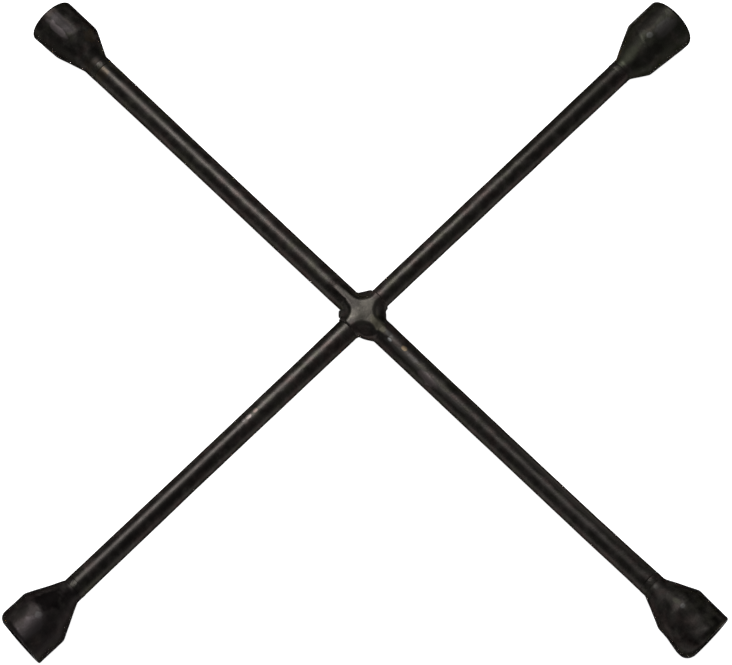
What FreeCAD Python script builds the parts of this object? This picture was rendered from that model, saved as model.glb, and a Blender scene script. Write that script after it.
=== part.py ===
"""Four-way lug wrench, 508 mm across, as a parametric FreeCAD document.

The wrench is a cross of two round steel bars that lie in one plane. The eye bar runs along X
and is forged out near its middle into an eye. The cross bar runs along Y through that eye and is
locked there by a waist that the hot eye was pressed into. Each bar end carries a forged hex
socket, joined to it by a butt weld in a V groove. The crossing is 2.5 mm off the middle of each
bar, so the arms differ a little in length.

Frame: origin where the two bar axes cross, +X and +Y along the bars, +Z square to the cross.
All sizes are millimetres.
"""

import FreeCAD, Part
import os

import Sketcher

OUT_DIR = "parts"
FULL_TURN = 360.0
POLE = 90.0
ORIGIN_POINT = (-1, 1)
X_AXIS_ID = -1
Y_AXIS_ID = -2
START = 1
END = 2
NEAR = 1e-6  # a shorter length counts as zero
MATCH = 1e-4  # an edge this close to a place is the one looked for
HOLLOWS_PER_FACE = 4

# alias, value, meaning
DIMENSIONS = [
    ("bar_diameter", 13.0, "round bar, 1/2 in nominal with its coating"),
    ("eye_flat_radius", 11.4, "flat of the eye, a thick forged disc round the crossing"),
    ("eye_height", 16.4, "thickness of the eye over its two flats"),
    ("eye_bulge", 1.4, "how far the eye's rim bulges beyond its flats at mid height"),
    ("eye_edge", 1.4, "rounding of the eye's rim at its flats"),
    ("ridge_reach", 34.0, "half length of the long swelling that runs the eye out into its bar"),
    ("ridge_half_width", 5.5, "half width of that swelling at the crossing"),
    ("ridge_height", 8.1, "its height over the bars' plane at the crossing"),
    ("hollow_radius", 8.6, "ball of the press tool that sets the eye"),
    ("hollow_offset", 10.3, "centre of each hollow from either bar axis"),
    ("hollow_height", 11.8, "centre of each hollow above the bars' plane"),
    ("hollow_edge", 0.6, "rounding where a hollow meets the eye's flat"),
    ("sleeve_radius", 7.7, "wall of the eye round the cross bar, where the hollows bare it"),
    ("sleeve_length", 20.0, "length of that wall along the cross bar"),
    ("bore_overrun", 1.0, "how far the bore's cut runs on beyond the eye"),
    ("waist_radius", 5.9, "locking waist of the cross bar inside the eye"),
    ("waist_half", 4.0, "half length of the waist's cylindrical part"),
    ("waist_run", 1.5, "length of the cone between waist and full bar"),
    ("weld_half_width", 1.8, "half the V groove's width at the bar's surface"),
    ("weld_root_radius", 3.8, "land where bar and socket neck touch"),
    ("weld_crown", 0.35, "height of the weld above the bar's surface"),
    ("neck_length", 3.0, "straight neck between socket cone and V groove"),
    ("neck_fillet", 5.0, "hollow where the cone meets the neck"),
    ("shoulder_fillet", 2.0, "rounding where the cone meets the socket body"),
    ("rim_fillet", 1.6, "rounding of the mouth's outer edge"),
    ("lead_in", 1.2, "depth of the mouth's 45 degree lead-in beyond the hex corners"),
    ("drill_point", 2.5, "depth of the conical end of the stud bore"),
    # one group for each socket: nominal nut size, then its own sizes
    ("seventeen_reach", 251.6, "bar crossing to the socket's mouth"),
    ("seventeen_hex", 17.3, "across flats, 17 mm nut"),
    ("seventeen_radius", 13.9, "outer radius"),
    ("seventeen_body", 19.6, "straight body length"),
    ("seventeen_cone", 19.0, "cone length"),
    ("seventeen_depth", 18.0, "hex depth"),
    ("seventeen_stud_radius", 7.2, "clearance bore for the stud's end"),
    ("seventeen_stud_depth", 27.0, "depth of that bore from the mouth"),
    ("nineteen_reach", 256.4, "bar crossing to the socket's mouth"),
    ("nineteen_hex", 19.3, "across flats, 19 mm nut"),
    ("nineteen_radius", 14.6, "outer radius"),
    ("nineteen_body", 20.6, "straight body length"),
    ("nineteen_cone", 16.6, "cone length"),
    ("nineteen_depth", 18.0, "hex depth"),
    ("nineteen_stud_radius", 8.2, "clearance bore for the stud's end"),
    ("nineteen_stud_depth", 27.0, "depth of that bore from the mouth"),
    ("twentyone_reach", 251.5, "bar crossing to the socket's mouth"),
    ("twentyone_hex", 21.3, "across flats, 21 mm nut"),
    ("twentyone_radius", 15.1, "outer radius"),
    ("twentyone_body", 26.4, "straight body length"),
    ("twentyone_cone", 15.6, "cone length"),
    ("twentyone_depth", 19.0, "hex depth"),
    ("twentyone_stud_radius", 9.2, "clearance bore for the stud's end"),
    ("twentyone_stud_depth", 29.0, "depth of that bore from the mouth"),
    ("twentytwo_reach", 256.5, "bar crossing to the socket's mouth"),
    ("twentytwo_hex", 22.3, "across flats, 22 mm nut"),
    ("twentytwo_radius", 15.9, "outer radius"),
    ("twentytwo_body", 16.8, "straight body length"),
    ("twentytwo_cone", 19.2, "cone length"),
    ("twentytwo_depth", 16.5, "hex depth"),
    ("twentytwo_stud_radius", 8.6, "clearance bore for the stud's end"),
    ("twentytwo_stud_depth", 25.0, "depth of that bore from the mouth"),
]

# socket key in the sheet, suffix of its node names, direction its mouth faces
ARMS = [
    ("seventeen", "17mm", (-1, 0, 0)),
    ("nineteen", "19mm", (1, 0, 0)),
    ("twentyone", "21mm", (0, 1, 0)),
    ("twentytwo", "22mm", (0, -1, 0)),
]


def fill_sheet(doc):
    """Writes every driving dimension to the sheet and names its cell."""
    sheet = doc.addObject("Spreadsheet::Sheet", "Dimensions")
    for row, (alias, value, meaning) in enumerate(DIMENSIONS, start=1):
        sheet.set("A%d" % row, alias)
        sheet.set("B%d" % row, str(value))
        sheet.setAlias("B%d" % row, alias)
        sheet.set("C%d" % row, meaning)
    doc.recompute()
    return sheet


def cell(alias):
    return "Dimensions." + alias


def value_of(owner, expression):
    """The number that an expression on the sheet gives now."""
    result = owner.evalExpression(expression)
    return float(getattr(result, "Value", result))


def origin_feature(body, role):
    """One of the planes or axes of the body's own origin."""
    return next(f for f in body.Origin.OriginFeatures if f.Role == role)


def sketch_on(body, role, name):
    """A new sketch on one of the body's own origin planes."""
    sketch = body.newObject("Sketcher::SketchObject", name)
    sketch.AttachmentSupport = [(origin_feature(body, role), "")]
    sketch.MapMode = "FlatFace"
    return sketch


def pin_down(sketch, geometry, point, expression, kind, axis):
    """Ties one coordinate of a point to an expression, or to an axis where it is zero."""
    number = value_of(sketch, expression)
    if abs(number) < NEAR:
        sketch.addConstraint(Sketcher.Constraint("PointOnObject", geometry, point, axis))
        return
    if number > 0:
        constraint = Sketcher.Constraint(kind, *ORIGIN_POINT, geometry, point, number)
    else:
        constraint = Sketcher.Constraint(kind, geometry, point, *ORIGIN_POINT, -number)
        expression = "-(%s)" % expression
    index = sketch.addConstraint(constraint)
    sketch.setExpression("Constraints[%d]" % index, expression)


def closed_outline(sketch, corners, bulges=None):
    """Joins the corners, each a pair of expressions, into one closed wire.

    bulges gives, for the side that starts at a corner, the expression of its arc's radius.
    """
    bulges = bulges or {}
    points = [
        FreeCAD.Vector(value_of(sketch, x), value_of(sketch, y), 0) for x, y in corners
    ]
    count = len(points)
    for index, start in enumerate(points):
        end = points[(index + 1) % count]
        if index in bulges:
            radius = value_of(sketch, bulges[index])
            sketch.addGeometry(arc_between(start, end, radius), False)
        else:
            sketch.addGeometry(Part.LineSegment(start, end), False)
    for index in range(count):
        following = (index + 1) % count
        sketch.addConstraint(Sketcher.Constraint("Coincident", index, END, following, START))
    for index, (x, y) in enumerate(corners):
        pin_down(sketch, index, START, x, "DistanceX", Y_AXIS_ID)
        pin_down(sketch, index, START, y, "DistanceY", X_AXIS_ID)
    for index, radius in bulges.items():
        constraint = Sketcher.Constraint("Radius", index, value_of(sketch, radius))
        added = sketch.addConstraint(constraint)
        sketch.setExpression("Constraints[%d]" % added, radius)


def arc_between(start, end, radius):
    """The short arc that bows out to the right on the way from start to end."""
    chord = end - start
    half = chord.Length / 2
    right = FreeCAD.Vector(chord.y, -chord.x, 0).normalize()
    rise = radius - (radius**2 - half**2) ** 0.5
    middle = (start + end) / 2 + right * rise
    return Part.Arc(start, middle, end)


def turned(body, kind, name, sketch, axis):
    """A Revolution or Groove of a whole turn round one of the sketch's axes."""
    feature = body.newObject("PartDesign::" + kind, name)
    feature.Profile = sketch
    feature.ReferenceAxis = (sketch, [axis])
    feature.Angle = FULL_TURN
    body.Tip = feature
    body.Document.recompute()
    return feature


def ring_edges(feature, radius, at, axis):
    """Names of the round edges of a given radius whose centre lies at a place on an axis."""
    names = []
    for number, edge in enumerate(feature.Shape.Edges, start=1):
        curve = edge.Curve
        if not isinstance(curve, Part.Circle):
            continue
        along = getattr(curve.Center, axis)
        if abs(curve.Radius - radius) < MATCH and abs(along - at) < MATCH:
            names.append("Edge%d" % number)
    if not names:
        raise RuntimeError("no round edge of radius %.3f at %.3f" % (radius, at))
    return names


def rounded(body, name, edges, radius):
    """Fillets named edges of the body's newest feature."""
    base = body.Tip
    fillet = body.newObject("PartDesign::Fillet", name)
    fillet.Base = (base, edges)
    fillet.setExpression("Radius", cell(radius))
    body.Tip = fillet
    body.Document.recompute()
    return fillet


def root_distance(key):
    """Expression: socket mouth to the weld's root plane."""
    parts = [cell(key + "_body"), cell(key + "_cone")]
    parts += [cell("neck_length"), cell("weld_half_width")]
    return " + ".join(parts)


def bar_end(key):
    """Expression: bar crossing to the end face of the bar on that arm."""
    return "(%s - (%s))" % (cell(key + "_reach"), root_distance(key))


def bar_shoulder(key):
    """Expression: bar crossing to the start of the bar's V bevel on that arm."""
    return "(%s - %s)" % (bar_end(key), cell("weld_half_width"))


def put_on_arm(body, key, direction):
    """Turns a piece that was drawn from the mouth's centre, facing +Z, onto its arm."""
    facing = FreeCAD.Vector(*direction)
    turn = FreeCAD.Rotation(FreeCAD.Vector(0, 0, 1), facing)
    body.Placement = FreeCAD.Placement(FreeCAD.Vector(), turn)
    for letter, amount in zip("xyz", direction):
        if amount:
            sign = "" if amount > 0 else "-"
            body.setExpression("Placement.Base." + letter, sign + cell(key + "_reach"))


def make_socket(doc, key, suffix, direction):
    """A forged socket: turned outside, punched hex, round bore beneath it for the stud."""
    body = doc.addObject("PartDesign::Body", "socket_" + suffix)
    radius = cell(key + "_radius")
    bar_radius = cell("bar_diameter") + " / 2"
    shoulder = cell(key + "_body")
    cone_end = "%s + %s" % (shoulder, cell(key + "_cone"))
    bevel = "%s + %s" % (cone_end, cell("neck_length"))

    outline = sketch_on(body, "XZ_Plane", "outline")
    closed_outline(
        outline,
        [
            ("0", "0"),
            (radius, "0"),
            (radius, "-(%s)" % shoulder),
            (bar_radius, "-(%s)" % cone_end),
            (bar_radius, "-(%s)" % bevel),
            (cell("weld_root_radius"), "-(%s)" % root_distance(key)),
            ("0", "-(%s)" % root_distance(key)),
        ],
    )
    turned(body, "Revolution", "forging", outline, "V_Axis")

    outer = value_of(outline, radius)
    at_shoulder = -value_of(outline, shoulder)
    at_neck = -value_of(outline, cone_end)
    bar = value_of(outline, bar_radius)
    shoulder_edges = ring_edges(body.Tip, outer, at_shoulder, "z")
    rounded(body, "shoulder_round", shoulder_edges, "shoulder_fillet")
    rounded(body, "neck_round", ring_edges(body.Tip, bar, at_neck, "z"), "neck_fillet")
    rounded(body, "rim_round", ring_edges(body.Tip, outer, 0, "z"), "rim_fillet")

    hexagon = sketch_on(body, "XY_Plane", "hexagon")
    half_flat = cell(key + "_hex") + " / 2"
    low = half_flat + " * tan(30 deg)"
    corner = half_flat + " / cos(30 deg)"
    closed_outline(
        hexagon,
        [
            (half_flat, low),
            ("0", corner),
            ("-" + half_flat, low),
            ("-" + half_flat, "-" + low),
            ("0", "-" + corner),
            (half_flat, "-" + low),
        ],
    )
    punched = body.newObject("PartDesign::Pocket", "hex_pocket")
    punched.Profile = hexagon
    punched.setExpression("Length", cell(key + "_depth"))
    body.Tip = punched
    doc.recompute()

    bore = sketch_on(body, "XZ_Plane", "stud_bore_outline")
    stud_radius = cell(key + "_stud_radius")
    stud_depth = cell(key + "_stud_depth")
    closed_outline(
        bore,
        [
            ("0", "0"),
            (stud_radius, "0"),
            (stud_radius, "-" + stud_depth),
            ("0", "-(%s + %s)" % (stud_depth, cell("drill_point"))),
        ],
    )
    turned(body, "Groove", "stud_bore", bore, "V_Axis")

    lead = sketch_on(body, "XZ_Plane", "lead_in_outline")
    mouth = "(%s + 0.3)" % corner
    foot = "(%s - %s)" % (mouth, cell("lead_in"))
    closed_outline(
        lead,
        [
            ("0", "0"),
            (mouth, "0"),
            (foot, "-" + cell("lead_in")),
            ("0", "-" + cell("lead_in")),
        ],
    )
    turned(body, "Groove", "lead_in", lead, "V_Axis")
    put_on_arm(body, key, direction)
    return body


def make_socket_weld(doc, key, suffix, direction):
    """The weld bead that fills the V groove between a bar end and its socket's neck."""
    body = doc.addObject("PartDesign::Body", "socket_weld_" + suffix)
    bar_radius = cell("bar_diameter") + " / 2"
    root = root_distance(key)
    half = cell("weld_half_width")
    crown = cell("weld_crown")
    arc_radius = "((%s)^2 + (%s)^2) / (2 * %s)" % (half, crown, crown)
    section = sketch_on(body, "XZ_Plane", "bead_section")
    closed_outline(
        section,
        [
            (cell("weld_root_radius"), "-(%s)" % root),
            (bar_radius, "-(%s + %s)" % (root, half)),
            (bar_radius, "-(%s - %s)" % (root, half)),
        ],
        bulges={1: arc_radius},
    )
    turned(body, "Revolution", "bead", section, "V_Axis")
    put_on_arm(body, key, direction)
    return body


def waist_corners():
    """Corners of the locking waist on the cross bar's outline, from -Y to +Y."""
    bar_radius = cell("bar_diameter") + " / 2"
    waist = cell("waist_radius")
    inner = cell("waist_half")
    outer = "(%s + %s)" % (inner, cell("waist_run"))
    return [(bar_radius, "-" + outer), (waist, "-" + inner), (waist, inner), (bar_radius, outer)]


def make_cross_bar(doc):
    """The bar along Y: it passes through the eye and is locked there by its waist."""
    body = doc.addObject("PartDesign::Body", "cross_bar")
    root = cell("weld_root_radius")
    bar_radius = cell("bar_diameter") + " / 2"
    outline = sketch_on(body, "XY_Plane", "outline")
    lower_end = [
        ("0", "-" + bar_end("twentytwo")),
        (root, "-" + bar_end("twentytwo")),
        (bar_radius, "-" + bar_shoulder("twentytwo")),
    ]
    upper_end = [
        (bar_radius, bar_shoulder("twentyone")),
        (root, bar_end("twentyone")),
        ("0", bar_end("twentyone")),
    ]
    closed_outline(outline, lower_end + waist_corners() + upper_end)
    turned(body, "Revolution", "bar", outline, "V_Axis")
    return body


def add_eye(body):
    """The thick disc that the cross bar passes through, and the swelling along the eye bar."""
    disc = sketch_on(body, "XZ_Plane", "eye_outline")
    flat = cell("eye_flat_radius")
    half_height = cell("eye_height") + " / 2"
    bulge = cell("eye_bulge")
    low = "-" + half_height
    closed_outline(
        disc,
        [("0", low), (flat, low), (flat, half_height), ("0", half_height)],
        bulges={1: "((%s)^2 + (%s)^2) / (2 * %s)" % (half_height, bulge, bulge)},
    )
    turned(body, "Revolution", "eye", disc, "V_Axis")
    radius = value_of(disc, flat)
    top = value_of(disc, half_height)
    rims = ring_edges(body.Tip, radius, top, "z") + ring_edges(body.Tip, radius, -top, "z")
    rounded(body, "eye_round", rims, "eye_edge")

    ridge = body.newObject("PartDesign::AdditiveEllipsoid", "ridge")
    ridge.AttachmentSupport = [(origin_feature(body, "XY_Plane"), "")]
    ridge.MapMode = "FlatFace"
    ridge.setExpression("Radius1", cell("ridge_height"))
    ridge.setExpression("Radius2", cell("ridge_reach"))
    ridge.setExpression("Radius3", cell("ridge_half_width"))
    ridge.Angle1 = -POLE
    ridge.Angle2 = POLE
    ridge.Angle3 = FULL_TURN
    body.Tip = ridge
    body.Document.recompute()


def press_hollows(body):
    """Four ball marks above and four below, one in each corner of the cross.

    They leave a flat-topped cross standing on the eye and a web between the bars.
    """
    balls = []
    for side, sign in (("upper", ""), ("lower", "-")):
        ball = body.newObject("PartDesign::SubtractiveSphere", side + "_hollow")
        ball.AttachmentSupport = [(origin_feature(body, "XY_Plane"), "")]
        ball.MapMode = "FlatFace"
        ball.setExpression("Radius", cell("hollow_radius"))
        ball.setExpression("AttachmentOffset.Base.x", cell("hollow_offset"))
        ball.setExpression("AttachmentOffset.Base.y", cell("hollow_offset"))
        ball.setExpression("AttachmentOffset.Base.z", sign + cell("hollow_height"))
        body.Tip = ball
        body.Document.recompute()
        balls.append(ball)
    pattern = body.newObject("PartDesign::PolarPattern", "hollow_pattern")
    pattern.Originals = balls
    pattern.Axis = (origin_feature(body, "Z_Axis"), [""])
    pattern.Angle = FULL_TURN
    pattern.Occurrences = HOLLOWS_PER_FACE
    body.Tip = pattern
    body.Document.recompute()


def flat_edges(feature, height):
    """Names of the short arcs where the hollows cut the flats at plus and minus a height."""
    names = []
    for number, edge in enumerate(feature.Shape.Edges, start=1):
        if not isinstance(edge.Curve, Part.Circle):
            continue
        centre = edge.Curve.Center
        if abs(abs(centre.z) - height) < MATCH and abs(centre.x) > MATCH:
            names.append("Edge%d" % number)
    if len(names) != 2 * HOLLOWS_PER_FACE:
        raise RuntimeError("%d hollow edges on the flats" % len(names))
    return names


def add_sleeve(body):
    """The wall that the hot metal keeps round the cross bar under the hollows."""
    sleeve = sketch_on(body, "XY_Plane", "sleeve_outline")
    radius = cell("sleeve_radius")
    half = cell("sleeve_length") + " / 2"
    closed_outline(sleeve, [("0", "-" + half), (radius, "-" + half), (radius, half), ("0", half)])
    turned(body, "Revolution", "sleeve", sleeve, "V_Axis")


def make_eye_bar(doc):
    """The bar along X, forged out at its middle into the eye that holds the cross bar."""
    body = doc.addObject("PartDesign::Body", "eye_bar")
    root = cell("weld_root_radius")
    bar_radius = cell("bar_diameter") + " / 2"
    outline = sketch_on(body, "XY_Plane", "outline")
    closed_outline(
        outline,
        [
            ("-" + bar_end("seventeen"), "0"),
            ("-" + bar_end("seventeen"), root),
            ("-" + bar_shoulder("seventeen"), bar_radius),
            (bar_shoulder("nineteen"), bar_radius),
            (bar_end("nineteen"), root),
            (bar_end("nineteen"), "0"),
        ],
    )
    turned(body, "Revolution", "bar", outline, "H_Axis")
    add_eye(body)
    press_hollows(body)
    half_height = value_of(body.Tip, cell("eye_height") + " / 2")
    rounded(body, "hollow_round", flat_edges(body.Tip, half_height), "hollow_edge")
    add_sleeve(body)

    bore = sketch_on(body, "XY_Plane", "bore_outline")
    eye_parts = [cell("eye_flat_radius"), cell("eye_bulge"), cell("bore_overrun")]
    beyond = "(%s)" % " + ".join(eye_parts)
    before_waist = [("0", "-" + beyond), (bar_radius, "-" + beyond)]
    after_waist = [(bar_radius, beyond), ("0", beyond)]
    closed_outline(bore, before_waist + waist_corners() + after_waist)
    turned(body, "Groove", "bore", bore, "V_Axis")
    return body


def check(doc, bodies):
    """Stops unless every object computed and every sub-part is one valid closed solid."""
    for thing in doc.Objects:
        if "Invalid" in thing.State or "Error" in thing.State:
            raise RuntimeError("%s (%s) failed: %s" % (thing.Name, thing.Label, thing.State))
    for body in bodies:
        shape = body.Shape
        if shape.isNull() or not shape.isValid() or len(shape.Solids) != 1:
            raise RuntimeError("%s is not one valid solid" % body.Label)


def main():
    doc = FreeCAD.newDocument("lug_wrench")
    fill_sheet(doc)
    bodies = [make_eye_bar(doc), make_cross_bar(doc)]
    for key, suffix, direction in ARMS:
        bodies.append(make_socket(doc, key, suffix, direction))
        bodies.append(make_socket_weld(doc, key, suffix, direction))
    doc.recompute()
    check(doc, bodies)
    os.makedirs(OUT_DIR, exist_ok=True)
    for body in bodies:
        body.Shape.exportStep(os.path.join(OUT_DIR, body.Label + ".step"))
        print("%-18s %10.1f mm3" % (body.Label, body.Shape.Volume))


main()
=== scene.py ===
"""Looks of the four-way lug wrench: forged and worn black steel on a white studio floor.

Lengths in this file are millimetres until a mesh is made, which scales them to metres. The frame
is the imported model's: bars along X and Y, their crossing at the origin, +Z up.
"""

import math

import bpy
import numpy as np
from mathutils import Matrix, Vector


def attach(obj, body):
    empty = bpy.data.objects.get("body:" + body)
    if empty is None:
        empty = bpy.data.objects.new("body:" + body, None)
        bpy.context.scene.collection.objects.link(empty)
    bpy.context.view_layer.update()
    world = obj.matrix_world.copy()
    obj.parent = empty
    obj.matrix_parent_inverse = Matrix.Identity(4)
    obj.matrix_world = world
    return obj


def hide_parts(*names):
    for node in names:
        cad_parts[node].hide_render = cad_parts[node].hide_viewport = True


MM = 0.001
SEGMENTS = 192  # points round a turned piece
THICKEST = 15.88  # half the wrench's thickness, which no socket may pass
CREASE = 38  # degrees: edges sharper than this are creased

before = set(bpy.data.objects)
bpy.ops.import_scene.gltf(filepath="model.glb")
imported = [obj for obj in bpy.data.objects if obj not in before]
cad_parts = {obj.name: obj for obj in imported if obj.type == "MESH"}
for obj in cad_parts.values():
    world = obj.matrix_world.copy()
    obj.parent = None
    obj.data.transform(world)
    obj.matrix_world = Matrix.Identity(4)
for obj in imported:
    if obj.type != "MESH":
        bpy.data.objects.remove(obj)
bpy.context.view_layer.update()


# ---------------------------------------------------------------- numbers and noise


def smoothstep(low, high, value):
    """0 up to low, 1 from high on, and a smooth run in between."""
    share = np.clip((value - low) / (high - low), 0.0, 1.0)
    return share * share * (3.0 - 2.0 * share)


def soft_min(a, b, width):
    """The smaller of two fields, blended where they are within width of each other."""
    gap = np.clip(0.5 + 0.5 * (b - a) / width, 0.0, 1.0)
    return b * (1.0 - gap) + a * gap - width * gap * (1.0 - gap)


def soft_max(a, b, width):
    """The larger of two fields, blended in the same way."""
    return -soft_min(-a, -b, width)


class Noise:
    """Smooth random field in space, made from a seeded lattice of values."""

    def __init__(self, seed, size=24):
        self.size = size
        self.lattice = np.random.default_rng(seed).uniform(-1.0, 1.0, (size, size, size))

    def at(self, points, scale):
        """Values at points, with lumps about as large as scale."""
        spot = np.asarray(points) / scale
        corner = np.floor(spot).astype(int)
        share = spot - corner
        share = share * share * (3.0 - 2.0 * share)
        total = np.zeros(spot.shape[:-1])
        for dx in (0, 1):
            for dy in (0, 1):
                for dz in (0, 1):
                    weight = np.abs(1 - dx - share[..., 0])
                    weight = weight * np.abs(1 - dy - share[..., 1])
                    weight = weight * np.abs(1 - dz - share[..., 2])
                    index = (corner + (dx, dy, dz)) % self.size
                    total += weight * self.lattice[index[..., 0], index[..., 1], index[..., 2]]
        return total


FORGING = Noise(11)


# ---------------------------------------------------------------- meshes


def turn_angles(segments=SEGMENTS):
    """Evenly spaced angles round a full turn."""
    return np.arange(segments) * 2.0 * math.pi / segments


def mesh_object(name, verts_mm, faces):
    """An object in the scene, from points in millimetres."""
    mesh = bpy.data.meshes.new(name)
    mesh.from_pydata((np.asarray(verts_mm) * MM).tolist(), [], faces)
    mesh.update()
    mesh.shade_smooth()
    made = bpy.data.objects.new(name, mesh)
    bpy.context.scene.collection.objects.link(made)
    return made


def ring_faces(rings, segments):
    """Quads between neighbouring rings of points, facing outwards."""
    faces = []
    for row in range(rings - 1):
        for column in range(segments):
            beside = (column + 1) % segments
            here = row * segments
            above = here + segments
            faces.append((here + column, here + beside, above + beside, above + column))
    return faces


def ring_solid(name, rings, flip=False):
    """A closed mesh from rings of points, each end closed by a fan to its middle."""
    rings = np.asarray(rings)
    count, segments, _ = rings.shape
    verts = rings.reshape(-1, 3)
    first, last = len(verts), len(verts) + 1
    verts = np.vstack([verts, rings[0].mean(axis=0), rings[-1].mean(axis=0)])
    faces = ring_faces(count, segments)
    top = (count - 1) * segments
    for column in range(segments):
        beside = (column + 1) % segments
        faces.append((first, beside, column))
        faces.append((last, top + column, top + beside))
    if flip:
        faces = [tuple(reversed(face)) for face in faces]
    return mesh_object(name, verts, faces)


def ring_loop(name, rings, flip=False):
    """A closed ring-shaped mesh: the last ring of points joins the first."""
    rings = np.asarray(rings)
    count, segments, _ = rings.shape
    verts = rings.reshape(-1, 3)
    faces = ring_faces(count, segments)
    last = (count - 1) * segments
    for column in range(segments):
        beside = (column + 1) % segments
        faces.append((last + column, last + beside, beside, column))
    if flip:
        faces = [tuple(reversed(face)) for face in faces]
    return mesh_object(name, verts, faces)


def sharp_by_angle(made, degrees=CREASE):
    """Creases the shading where two faces meet at more than this angle."""
    made.data.set_sharp_from_angle(angle=math.radians(degrees))


def finish_piece(made, node, material):
    """Gives a piece its material, and ties it to the node that it replaces."""
    made.data.materials.append(material)
    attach(made, "root")
    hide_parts(node)


# ---------------------------------------------------------------- the four arms

# Along each arm, t runs from the crossing to the mouth. side is the in-plane direction square to
# the arm, and a point's angle is measured from side towards +Z.
#
# plus and minus are the forged outline on the two flanks, at angle 0 and at half a turn, as lists
# of (t, radius). The surface runs from one to the other in between. rim is the rounding of the
# mouth's outer edge on the same two flanks. tilt is how far the mouth leans out at its top and on
# its plus flank. hexagon is the pocket's size across flats and its depth, and stud is the radius
# and the depth of the bore behind it. weld is where the weld's middle lies. flats are the
# direction and half width, in radians, of narrow flats along the socket's body. radius is the
# socket's nominal outside radius.


class Arm:
    """One arm of the cross, with its socket."""

    def __init__(self, suffix, along, side, radius, **sizes):
        self.suffix = suffix
        self.along = np.array(along, float)
        self.side = np.array(side, float)
        self.up = np.array((0.0, 0.0, 1.0))
        self.radius = radius
        self.mouth = sizes["mouth"]
        self.tilt_up, self.tilt_side = sizes["tilt"]
        self.hexagon, self.depth = sizes["hexagon"]
        self.stud_radius, self.stud_depth = sizes["stud"]
        self.weld = sizes["weld"]
        self.plus, self.minus = np.array(sizes["plus"]), np.array(sizes["minus"])
        self.rim_plus, self.rim_minus = sizes["rim"]
        self.flats = sizes.get("flats", ())

    def place(self, t, angle, radius, lean=0.0):
        """Points at distances t, with their angle and radius about the arm's axis."""
        t, angle, radius = np.broadcast_arrays(t, angle, radius)
        along = t[..., None] * self.along
        sideways = (radius * np.cos(angle) + lean)[..., None] * self.side
        return along + sideways + (radius * np.sin(angle))[..., None] * self.up

    def flips(self):
        """Whether rings of rising angle run clockwise when seen from the mouth."""
        return np.dot(np.cross(self.side, self.up), self.along) < 0


UPPER_LEFT = Arm(
    "17mm",
    (-1, 0, 0),
    (0, 1, 0),
    13.9,
    mouth=250.6,
    tilt=(0.0, -0.5),
    hexagon=(17.3, 18.0),
    stud=(7.2, 27.0),
    weld=208.0,
    plus=[(203.0, 7.15), (211.4, 7.25), (226.8, 14.95), (240.0, 15.0), (251.0, 15.0)],
    minus=[(203.0, 7.1), (214.3, 7.2), (232.8, 12.3), (243.0, 12.75), (251.0, 13.15)],
    rim=(1.5, 1.8),
    flats=((1.40, 0.085), (1.59, 0.085)),
)
LOWER_RIGHT = Arm(
    "19mm",
    (1, 0, 0),
    (0, 1, 0),
    14.6,
    mouth=256.4,
    tilt=(0.0, 0.0),
    hexagon=(19.3, 18.0),
    stud=(8.2, 27.0),
    weld=214.0,
    plus=[(209.0, 7.25), (217.7, 7.4), (235.3, 15.6), (246.0, 15.3), (256.4, 15.0)],
    minus=[(209.0, 6.4), (216.2, 6.4), (233.0, 14.25), (240.0, 14.85), (248.5, 16.65)],
    rim=(1.3, 5.8),
)
UPPER_RIGHT = Arm(
    "21mm",
    (0, 1, 0),
    (1, 0, 0),
    15.1,
    mouth=250.2,
    tilt=(0.0, -0.1),
    hexagon=(21.3, 19.0),
    stud=(9.2, 29.0),
    weld=204.6,
    plus=[(199.6, 7.2), (207.8, 7.3), (218.5, 13.4), (233.0, 14.75), (246.5, 15.95)],
    minus=[(199.6, 6.2), (210.2, 6.35), (229.8, 15.4), (240.0, 15.45), (250.0, 15.35)],
    rim=(2.6, 1.4),
)
LOWER_LEFT = Arm(
    "22mm",
    (0, -1, 0),
    (1, 0, 0),
    15.9,
    mouth=255.75,
    tilt=(0.2, 0.7),
    hexagon=(22.3, 16.5),
    stud=(8.6, 25.0),
    weld=215.3,
    plus=[(210.3, 6.85), (220.2, 6.95), (238.9, 16.55), (247.0, 16.45), (256.0, 16.35)],
    minus=[(210.3, 6.15), (216.5, 6.2), (236.8, 15.9), (247.0, 16.05), (256.0, 16.15)],
    rim=(0.9, 4.4),
)
ARMS = (UPPER_LEFT, LOWER_RIGHT, UPPER_RIGHT, LOWER_LEFT)

# Each bar as drawn and hammered: station along the bar, radius, and how far its axis strays to the
# side (towards +Y for the eye bar and +X for the cross bar).
EYE_BAR_FORM = np.array(
    [
        (-213.0, 7.17, 0.08),
        (-200.0, 7.10, 0.07),
        (-170.0, 6.93, 0.04),
        (-110.0, 6.79, -0.05),
        (-50.0, 6.75, -0.12),
        (0.0, 6.75, 0.05),
        (20.0, 6.74, 0.18),
        (50.0, 6.67, 0.07),
        (110.0, 6.62, 0.02),
        (170.0, 6.62, -0.02),
        (192.0, 6.71, 0.24),
        (216.0, 6.87, 0.50),
    ]
)
CROSS_BAR_FORM = np.array(
    [
        (-218.0, 6.57, 0.32),
        (-200.0, 6.47, 0.34),
        (-140.0, 6.33, 0.33),
        (-80.0, 6.41, 0.42),
        (-50.0, 6.45, 0.46),
        (-14.0, 6.72, 0.46),
        (14.0, 6.05, 0.12),
        (50.0, 6.15, 0.21),
        (110.0, 6.39, 0.38),
        (170.0, 6.65, 0.46),
        (206.0, 6.76, 0.58),
    ]
)


def form_at(form, station):
    """Radius and sideways stray of a bar at stations along it."""
    radius = np.interp(station, form[:, 0], form[:, 1])
    stray = np.interp(station, form[:, 0], form[:, 2])
    return radius, stray


def eased(profile, t, reach=0.9):
    """A profile's radius at t with its corners rounded over twice the reach."""
    total = 0.0
    steps = np.linspace(-reach, reach, 7)
    for step in steps:
        total = total + np.interp(t + step, profile[:, 0], profile[:, 1])
    return total / len(steps)


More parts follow.
